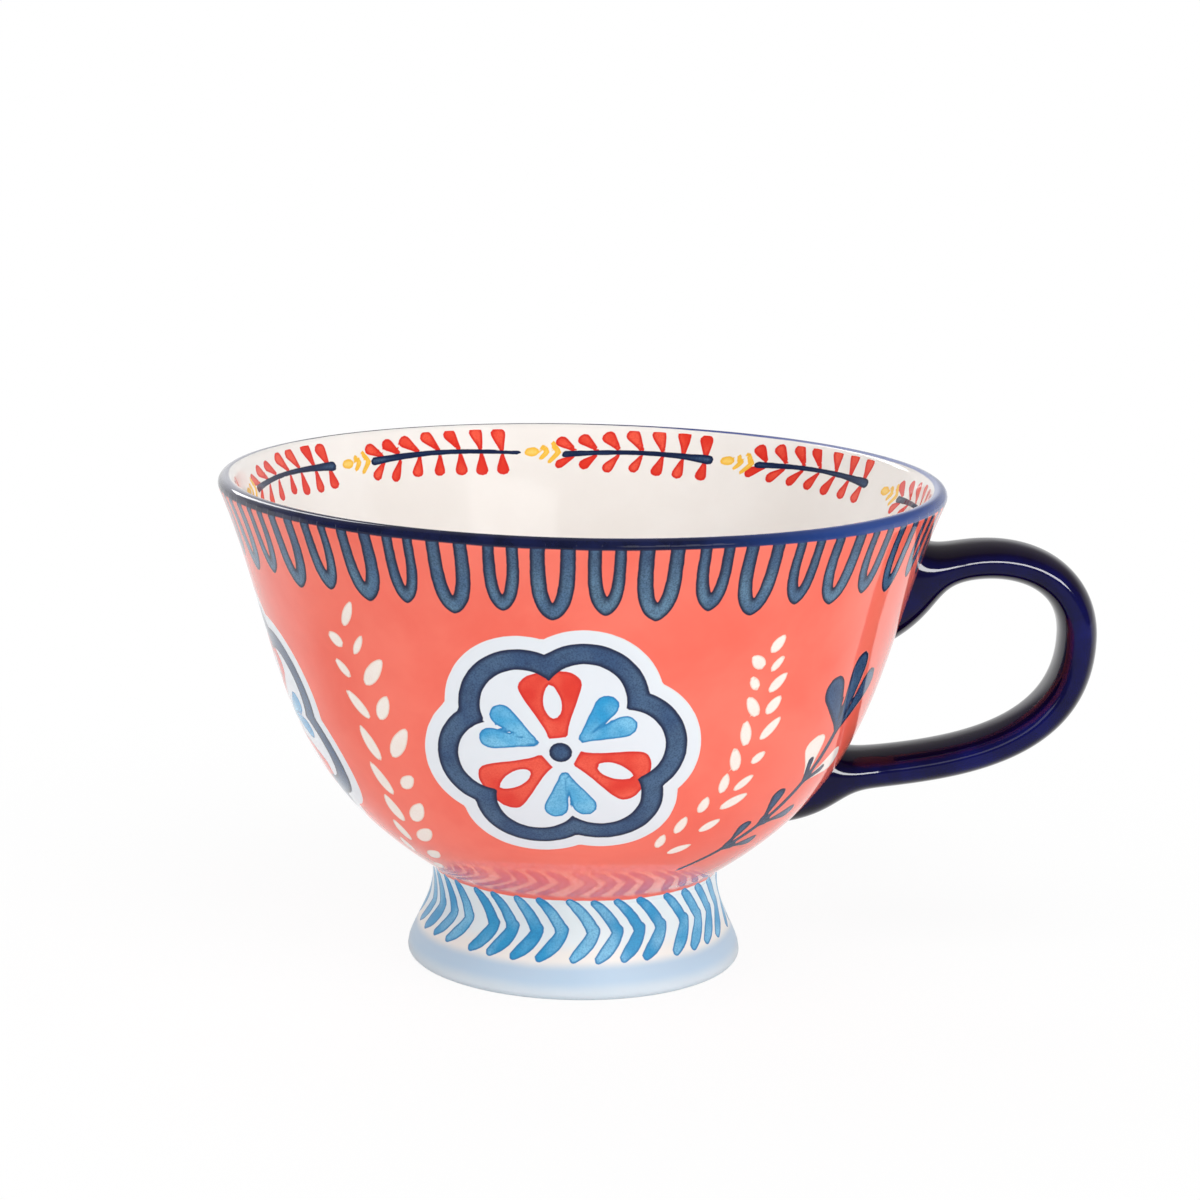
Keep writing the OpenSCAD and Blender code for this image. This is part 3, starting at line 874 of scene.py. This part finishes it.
def brushwork(n, place, down, under):
    """The painted shapes, one paint over the other, with the fringe last. Gives the colour and each mask."""
    tone = n.step(n.noise(place, 130, 2.0, 0.5), 0.36, 0.62)
    sky = n.mix(tone, srgb(40, 160, 216), srgb(130, 204, 238))
    poppy = n.mix(tone, srgb(230, 58, 42), srgb(244, 94, 72))
    navy = n.mix(tone, srgb(54, 84, 124), srgb(74, 104, 138))
    # the fringe is darker high up
    high = n.math("SUBTRACT", 1.0, n.step(down, 0, 9))
    slate = n.mix(tone, srgb(78, 112, 146), srgb(98, 134, 162))
    slate = n.mix(n.math("MULTIPLY", high, 0.6), slate, srgb(48, 72, 110))
    # paint, colour at the rim, colour in the middle, rim width, grain, waver
    layers = [
        ("cream", srgb(238, 214, 200), srgb(250, 242, 234), 0.30, 0.25, 0.10),
        ("ground", srgb(232, 236, 240), srgb(232, 238, 244), 0.5, 0.1, 0.12),
        ("blue", srgb(34, 128, 188), sky, 0.5, 0.5, 0.24),
        ("red", srgb(218, 46, 36), poppy, 0.7, 0.35, 0.16),
        ("yellow", srgb(246, 190, 64), srgb(253, 214, 116), 0.7, 0.3, 0.14),
        ("stroke", srgb(20, 32, 66), navy, 1.0, 0.5, 0.18),
        ("loops", srgb(18, 28, 58), slate, 0.85, 0.55, 0.22),
    ]
    masks = {}
    for name, rim, middle, width, grain, waver in layers:
        depth = n.field(name) if name in paint else n.group(LOOPS_UNDER_LIP, Down=down)["Depth"]
        out = n.group(
            BRUSH, Depth=depth, Under=under, Rim=rim, Middle=middle, Rim_width=width, Grain=grain,
            Waver=waver)
        under, masks[name] = out["Colour"], out["Mask"]
    return under, masks


def lip_line(n, place, unsteady, under):
    """Navy line over the lip, which reaches further in on one side. There its inner part runs thin and
    violet-blue, turning towards the end into a painted reflection of the backdrop; on the other side the
    rim's top has a light grey painted reflection.
    """
    aside, _, _ = n.object_mm()
    wide = n.step(aside, -10, 30)
    inner = n.math("MULTIPLY_ADD", wide, 0.5, unsteady)
    above = n.math("SUBTRACT", 1.0, n.step(unsteady, -0.5, -0.25))
    lip = n.math("MULTIPLY", n.step(inner, -3.45, -3.15), above)
    navy = n.mix(n.step(n.noise(place, 260, 3.0, 0.6), 0.3, 0.7), srgb(14, 18, 46), srgb(22, 28, 66))
    navy = n.mix(n.math("MULTIPLY", n.step(aside, 12, 50), 0.85), navy, srgb(38, 70, 140))
    # on the wider side the lip's inner part runs thin and violet-blue, and further along it becomes a painted
    # reflection of the backdrop
    thin = n.math("MULTIPLY", wide, n.math("SUBTRACT", 1.0, n.step(unsteady, -3.3, -2.2)))
    thin_line_and_reflection = n.mix(n.step(aside, 20, 62), srgb(62, 76, 150), srgb(168, 176, 212))
    navy = n.mix(n.math("MULTIPLY", thin, 0.85), navy, thin_line_and_reflection)
    # painted reflection: the top of the lip on the other side goes light grey
    crest_reflection = n.math("MULTIPLY", n.step(aside, -44, -60), n.math("SUBTRACT", 1.0, n.step(unsteady, -2.6, -1.2)))
    navy = n.mix(n.math("MULTIPLY", crest_reflection, 0.8), navy, srgb(176, 178, 190))
    return n.mix(lip, under, navy)


def painted_stoneware():
    """Clear glaze over brushed underglaze colours, laid down in the order that a painter would."""
    material, n, shader = new_material("painted_stoneware")
    place = n.add("ShaderNodeTexCoord").outputs["Object"]
    cloud = n.noise(place, 46, 4.0, 0.55, 0.3)
    down = n.field("down")
    unsteady = n.math("MULTIPLY_ADD", n.math("SUBTRACT", n.noise(place, 90, 2.0), 0.5), 0.35, down)
    colour = white_glaze(n, cloud, down)
    colour = coral_ground(n, place, cloud, unsteady, colour)
    colour, masks = brushwork(n, place, down, colour)
    colour = lip_line(n, place, unsteady, colour)
    # unglazed standing ring
    rough_edge = n.math("MULTIPLY_ADD", n.math("SUBTRACT", n.noise(place, 500), 0.5), 0.3, n.field("bare"))
    bare = n.step(rough_edge, -0.06, 0.06)
    clay = n.mix(n.noise(place, 900, 3.0, 0.7), srgb(214, 205, 192), srgb(232, 226, 216))
    colour = n.mix(bare, colour, clay)
    glaze = n.group(GLAZE, Swell=0.25, Gloss=0.06, Pinholes=1.0)
    colour = n.mix(n.math("MULTIPLY", glaze["Pin"], 0.4), colour, srgb(120, 84, 70))
    n.feed(shader.inputs["Base Color"], colour)
    # the foot's glaze is thinner and has a satin shine, and the standing ring is rough
    satin = n.math("MULTIPLY", n.step(down, CORAL_END, CORAL_END + 1), 0.32)
    satin = n.math("MAXIMUM", satin, n.math("MULTIPLY", bare, 0.72))
    n.feed(shader.inputs["Roughness"], n.math("MAXIMUM", glaze["Roughness"], satin))
    shader.inputs["IOR"].default_value = 1.56
    # the glaze has run thick low on the bowl, and mirrors more
    shiny = n.math("SUBTRACT", 0.55, n.math("MULTIPLY", satin, 1.7))
    n.feed(shader.inputs["Coat Weight"], n.math("MULTIPLY", n.step(down, 60, 74), shiny))
    shader.inputs["Coat Roughness"].default_value = 0.03
    # brush strokes stand a little proud
    painted = n.math("MAXIMUM", masks["stroke"], masks["loops"])
    raised = n.math("ADD", n.math("MULTIPLY", painted, 0.12), n.math("MULTIPLY", masks["cream"], 0.05))
    bumped(n, shader, n.math("ADD", glaze["Height"], raised), 0.0002)
    return material


def cobalt_glaze():
    """Deep blue glaze: nearly black on the strap's broad faces and bluer on its narrow sides, partly from
    glaze that thins over the edges and partly as painted shade on the broad faces.
    """
    material, n, shader = new_material("cobalt_glaze")
    place = n.add("ShaderNodeTexCoord").outputs["Object"]
    cloud = n.noise(place, 60, 4.0, 0.6, 0.4)
    # painted shade in part: the broad faces take the near black colour, the narrow sides the bluer one
    thick = n.mix(n.step(cloud, 0.3, 0.72), srgb(12, 3, 26), srgb(14, 5, 40))
    thin = n.mix(n.step(cloud, 0.3, 0.72), srgb(10, 9, 54), srgb(12, 16, 86))
    edge = n.math("MULTIPLY_ADD", n.math("SUBTRACT", cloud, 0.5), 0.2, n.field("edge"))
    colour = n.mix(n.step(edge, 0.80, 1.0), thick, thin)
    glaze = n.group(GLAZE, Swell=0.6, Gloss=0.07, Pinholes=0.6)
    colour = n.mix(n.math("MULTIPLY", glaze["Pin"], 0.5), colour, srgb(60, 60, 110))
    n.feed(shader.inputs["Base Color"], colour)
    n.feed(shader.inputs["Roughness"], glaze["Roughness"])
    shader.inputs["IOR"].default_value = 1.42
    bumped(n, shader, glaze["Height"], 0.0002)
    return material


body.data.materials.append(painted_stoneware())
handle.data.materials.append(cobalt_glaze())
for piece in (body, handle):
    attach(piece, "root")
    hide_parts("mug")


# Light and floor
def soft_lamp(name, place, aim, size, power):
    """A rectangular lamp that looks at a point and isn't seen in the glaze."""
    data = bpy.data.lights.new(name, "AREA")
    data.shape = "RECTANGLE"
    data.size, data.size_y = size
    data.energy = power
    lamp = bpy.data.objects.new(name, data)
    lamp.location = place
    lamp.rotation_euler = (Vector(aim) - Vector(place)).to_track_quat("-Z", "Y").to_euler()
    lamp.visible_glossy = False
    bpy.context.collection.objects.link(lamp)
    return lamp


def shine_lamp(name, piece, *settings):
    """A lamp that only puts its highlight on one piece."""
    lamp = soft_lamp(name, *settings)
    lamp.visible_glossy, lamp.visible_diffuse, lamp.visible_camera = True, False, False
    lit = bpy.data.collections.new(name)
    lit.objects.link(piece)
    lamp.light_linking.receiver_collection = lit


# Name, place, where it looks, size, power: soft lamps give the level, the others the glaze's bright lines
soft_lamp("right_soft", (0.841, -0.657, 0.316), (0, 0, 0.05), (1.5, 0.7), 8.3)
soft_lamp("left_soft", (-0.841, -0.657, 0.316), (0, 0, 0.05), (1.5, 0.7), 4.0)
soft_lamp("top_soft", (0, -0.55, 1.0), (0, 0, 0.05), (1.0, 0.6), 7.6)
soft_lamp("back_lamp", (-0.2, 0.9, 0.7), (0, 0.1, 0.0), (0.8, 0.5), 4.0)
shine_lamp("window", body, (0.401, -0.704, 0.476), (0, 0.05, 0.07), (0.53, 0.30), 0.55)
shine_lamp("window_core", body, (0.401, -0.704, 0.476), (0, 0.05, 0.07), (0.42, 0.28), 0.45)
shine_lamp("rim_line", body, (-0.47, 0.7, 0.62), (0, 0, 0.08), (0.2, 0.6), 1.9)
shine_lamp("strap_line", handle, (0.442, -0.776, 0.348), (0.08, 0, 0.07), (0.46, 0.2), 5.8)
shine_lamp("strap_gleam", handle, (-0.16, -0.85, 0.348), (0.08, 0, 0.07), (0.7, 0.2), 0.7)

WHITE = (1, 1, 1, 1)


def make_room():
    """World in which a lit backdrop stands low behind and the rest is dim. The camera sees plain white."""
    world = bpy.data.worlds.new("studio")
    bpy.context.scene.world = world
    n = empty_nodes(world)
    split = n.add("ShaderNodeSeparateXYZ")
    n.feed(split.inputs[0], n.add("ShaderNodeTexCoord").outputs["Generated"])
    across, away, height = split.outputs
    behind = n.step(away, -0.1, 0.25)
    low = n.math("SUBTRACT", 1.0, n.step(height, 0.1, 0.45))
    below = n.math("SUBTRACT", 1.0, n.step(height, -0.1, 0.0))
    tone = n.mix(behind, (0.1, 0.1, 0.1, 1), (0.26, 0.25, 0.25, 1))
    tone = n.mix(below, tone, (0.45, 0.45, 0.45, 1))
    backdrop = n.mix(n.step(across, -0.4, 0.3), WHITE, (0.7, 0.7, 0.71, 1))
    tone = n.mix(n.math("MULTIPLY", behind, low), tone, backdrop)
    tone = n.mix(n.add("ShaderNodeLightPath").outputs["Is Camera Ray"], tone, WHITE)
    background = n.add("ShaderNodeBackground")
    n.feed(background.inputs["Color"], tone)
    n.feed(n.add("ShaderNodeOutputWorld").inputs["Surface"], background.outputs[0])


def white_paper():
    """Matt paper. The camera sees it blown out all round, but for a faint shadow near the foot, and a mirror
    sees it brightest behind the mug."""
    material = bpy.data.materials.new("white_paper")
    n = empty_nodes(material)
    matt = n.add("ShaderNodeBsdfDiffuse")
    matt.inputs["Color"].default_value = (0.94, 0.94, 0.94, 1)
    plain = n.add("ShaderNodeEmission")
    ray = n.add("ShaderNodeLightPath").outputs
    x, y, _ = n.object_mm()
    far = n.math("SQRT", n.math("MULTIPLY_ADD", x, x, n.math("MULTIPLY", y, y)))
    seen = n.math("MULTIPLY", ray["Is Camera Ray"], n.math("MULTIPLY_ADD", n.step(far, 60, 220), 0.08, 0.92))
    level = n.math("MULTIPLY_ADD", n.step(y, -20, 60), 0.5, 0.45)
    n.feed(plain.inputs["Color"], n.mix(ray["Is Glossy Ray"], WHITE, level))
    share = n.add("ShaderNodeMixShader")
    n.feed(share.inputs[0], n.math("MAXIMUM", seen, ray["Is Glossy Ray"]))
    n.feed(share.inputs[1], matt.outputs[0])
    n.feed(share.inputs[2], plain.outputs[0])
    n.feed(n.add("ShaderNodeOutputMaterial").inputs["Surface"], share.outputs[0])
    return material


def lay_sheet(side, front, back):
    """A level sheet that reaches to both sides by as much, and from front to back, in metres."""
    mesh = bpy.data.meshes.new("floor")
    corners = [(-side, front, 0), (side, front, 0), (side, back, 0), (-side, back, 0)]
    mesh.from_pydata(corners, [], [(0, 1, 2, 3)])
    mesh.materials.append(white_paper())
    sheet = bpy.data.objects.new("floor", mesh)
    bpy.context.collection.objects.link(sheet)
    return sheet


make_room()
floor = lay_sheet(3, -0.25, 4)

bpy.context.scene.view_settings.view_transform = "Standard"
